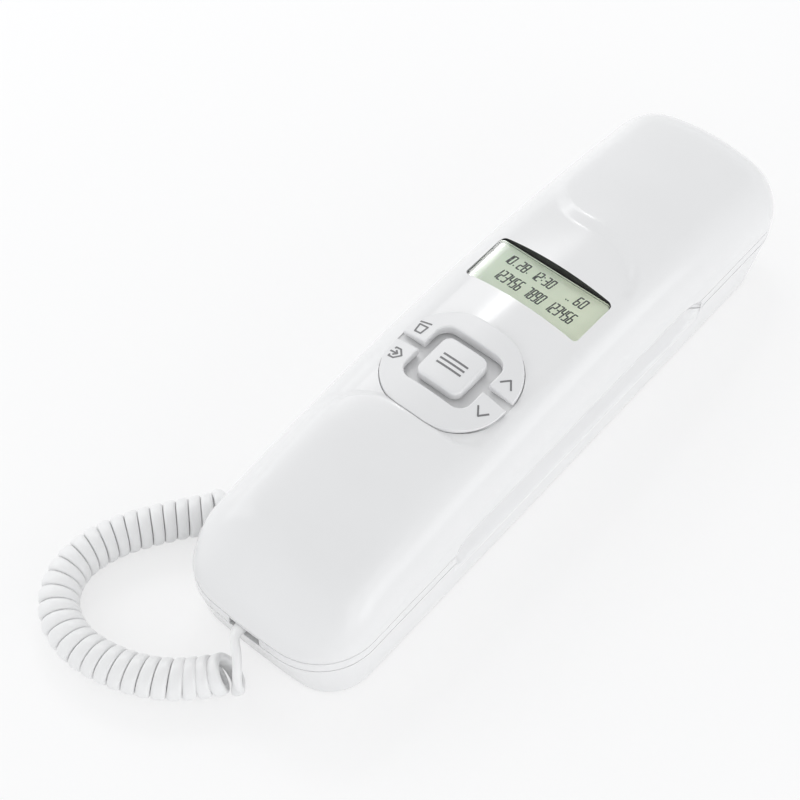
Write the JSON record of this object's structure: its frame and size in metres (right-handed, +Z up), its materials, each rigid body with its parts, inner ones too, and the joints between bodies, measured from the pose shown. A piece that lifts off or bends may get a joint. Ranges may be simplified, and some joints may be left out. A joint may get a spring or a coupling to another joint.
{
  "type": "corded wall telephone",
  "caption": "Slimline corded telephone: crowned handset with display and keys resting on a low wall base, with a curly cord.",
  "frame": {"origin": "on the table under the middle of the base, cord left aside", "axes": "+Y along the phone from the mouth end to the ear end, +Z up out of the handset's crowned face, +X to the side"},
  "size_m": [0.0932, 0.2419, 0.0471],
  "materials": {
    "white_plastic": "satin",
    "base_plastic": "satin",
    "key_plastic": "matte",
    "clear_window": "gloss",
    "display_glass": "satin",
    "circuit_board": "matte",
    "grey_rubber": "matte",
    "steel": "satin",
    "dark_plastic": "matte",
    "clear_plastic": "gloss",
    "cord_jacket": "satin",
    "zinc": "matte"
  },
  "bodies": {
    "base": {"base_cover": "base_plastic", "base_plate": "base_plastic", "rubber_feet": "grey_rubber", "base_screws": "steel", "ringer": "dark_plastic", "base_board": "circuit_board", "base_board_screws": "steel", "hook_switch": "dark_plastic", "hook_spring": "steel", "ringer_switch_body": "dark_plastic", "base_cord_jack": "dark_plastic", "base_cord_plug": "clear_plastic", "base_cord_tail": "cord_jacket", "curly_cord": "cord_jacket", "line_jack": "dark_plastic", "wall_hook_tab": "base_plastic"},
    "handset": {"handset_outer_shell": "white_plastic", "display_lens": "clear_window", "lcd_module": "display_glass", "display_board": "circuit_board", "front_key_mat": "grey_rubber", "display_board_screws": "steel", "handset_inner_shell": "white_plastic", "dial_key_mat": "grey_rubber", "dial_board": "circuit_board", "dial_board_screws": "steel", "earpiece_speaker": "dark_plastic", "microphone": "dark_plastic", "handset_weight": "zinc", "handset_jack": "dark_plastic", "handset_cord_plug": "clear_plastic", "handset_screws": "steel", "handset_cord_tail": "cord_jacket"},
    "plunger": {"hook_plunger": "key_plastic"},
    "menu": {"menu_key": "key_plastic"},
    "upper_rocker": {"upper_rocker_key": "key_plastic"},
    "lower_rocker": {"lower_rocker_key": "key_plastic"},
    "ringer_slider": {"ringer_switch_knob": "key_plastic"},
    "digit_key_1": {"digit_key_1": "key_plastic"},
    "digit_key_2": {"digit_key_2": "key_plastic"},
    "digit_key_3": {"digit_key_3": "key_plastic"},
    "digit_key_4": {"digit_key_4": "key_plastic"},
    "digit_key_5": {"digit_key_5": "key_plastic"},
    "digit_key_6": {"digit_key_6": "key_plastic"},
    "digit_key_7": {"digit_key_7": "key_plastic"},
    "digit_key_8": {"digit_key_8": "key_plastic"},
    "digit_key_9": {"digit_key_9": "key_plastic"},
    "star_key": {"star_key": "key_plastic"},
    "digit_key_0": {"digit_key_0": "key_plastic"},
    "hash_key": {"hash_key": "key_plastic"},
    "function_key_left": {"function_key_left": "key_plastic"},
    "function_key_middle": {"function_key_middle": "key_plastic"},
    "function_key_right": {"function_key_right": "key_plastic"}
  },
  "joints": [
    {"name": "handset_lift", "type": "slide", "parent": "base", "child": "handset", "axis": [0, 0, 1], "range_m": [0, 0.06]},
    {"name": "hook_rise", "type": "slide", "parent": "base", "child": "plunger", "axis": [0, 0, 1], "range_m": [0, 0.003], "deforming": ["hook_spring"]},
    {"name": "menu_press", "type": "slide", "parent": "handset", "child": "menu", "axis": [0, 0, -1], "range_m": [0, 0.0007], "stiffness_N_per_m": 900},
    {"name": "upper_rocker_tip", "type": "hinge", "parent": "handset", "child": "upper_rocker", "pos_m": [0.0004, -0.0125, 0.0434], "axis": [0, 1, 0], "range_deg": [-2, 2], "stiffness_Nm_per_rad": 0.6},
    {"name": "lower_rocker_tip", "type": "hinge", "parent": "handset", "child": "lower_rocker", "pos_m": [0.0004, -0.0315, 0.0434], "axis": [0, 1, 0], "range_deg": [-2, 2], "stiffness_Nm_per_rad": 0.6},
    {"name": "ringer_slide", "type": "slide", "parent": "base", "child": "ringer_slider", "axis": [0, 1, 0], "range_m": [-0.0025, 0.0025]},
    {"name": "digit_key_1_press", "type": "slide", "parent": "handset", "child": "digit_key_1", "axis": [0, 0, 1], "range_m": [0, 0.001], "stiffness_N_per_m": 700},
    {"name": "digit_key_2_press", "type": "slide", "parent": "handset", "child": "digit_key_2", "axis": [0, 0, 1], "range_m": [0, 0.001], "stiffness_N_per_m": 700},
    {"name": "digit_key_3_press", "type": "slide", "parent": "handset", "child": "digit_key_3", "axis": [0, 0, 1], "range_m": [0, 0.001], "stiffness_N_per_m": 700},
    {"name": "digit_key_4_press", "type": "slide", "parent": "handset", "child": "digit_key_4", "axis": [0, 0, 1], "range_m": [0, 0.001], "stiffness_N_per_m": 700},
    {"name": "digit_key_5_press", "type": "slide", "parent": "handset", "child": "digit_key_5", "axis": [0, 0, 1], "range_m": [0, 0.001], "stiffness_N_per_m": 700},
    {"name": "digit_key_6_press", "type": "slide", "parent": "handset", "child": "digit_key_6", "axis": [0, 0, 1], "range_m": [0, 0.001], "stiffness_N_per_m": 700},
    {"name": "digit_key_7_press", "type": "slide", "parent": "handset", "child": "digit_key_7", "axis": [0, 0, 1], "range_m": [0, 0.001], "stiffness_N_per_m": 700},
    {"name": "digit_key_8_press", "type": "slide", "parent": "handset", "child": "digit_key_8", "axis": [0, 0, 1], "range_m": [0, 0.001], "stiffness_N_per_m": 700},
    {"name": "digit_key_9_press", "type": "slide", "parent": "handset", "child": "digit_key_9", "axis": [0, 0, 1], "range_m": [0, 0.001], "stiffness_N_per_m": 700},
    {"name": "star_key_press", "type": "slide", "parent": "handset", "child": "star_key", "axis": [0, 0, 1], "range_m": [0, 0.001], "stiffness_N_per_m": 700},
    {"name": "digit_key_0_press", "type": "slide", "parent": "handset", "child": "digit_key_0", "axis": [0, 0, 1], "range_m": [0, 0.001], "stiffness_N_per_m": 700},
    {"name": "hash_key_press", "type": "slide", "parent": "handset", "child": "hash_key", "axis": [0, 0, 1], "range_m": [0, 0.001], "stiffness_N_per_m": 700},
    {"name": "function_key_left_press", "type": "slide", "parent": "handset", "child": "function_key_left", "axis": [0, 0, 1], "range_m": [0, 0.001], "stiffness_N_per_m": 700},
    {"name": "function_key_middle_press", "type": "slide", "parent": "handset", "child": "function_key_middle", "axis": [0, 0, 1], "range_m": [0, 0.001], "stiffness_N_per_m": 700},
    {"name": "function_key_right_press", "type": "slide", "parent": "handset", "child": "function_key_right", "axis": [0, 0, 1], "range_m": [0, 0.001], "stiffness_N_per_m": 700}
  ],
  "couplings": [
    {"joint": "hook_rise", "follows": "handset_lift", "ratio": 0.05}
  ]
}
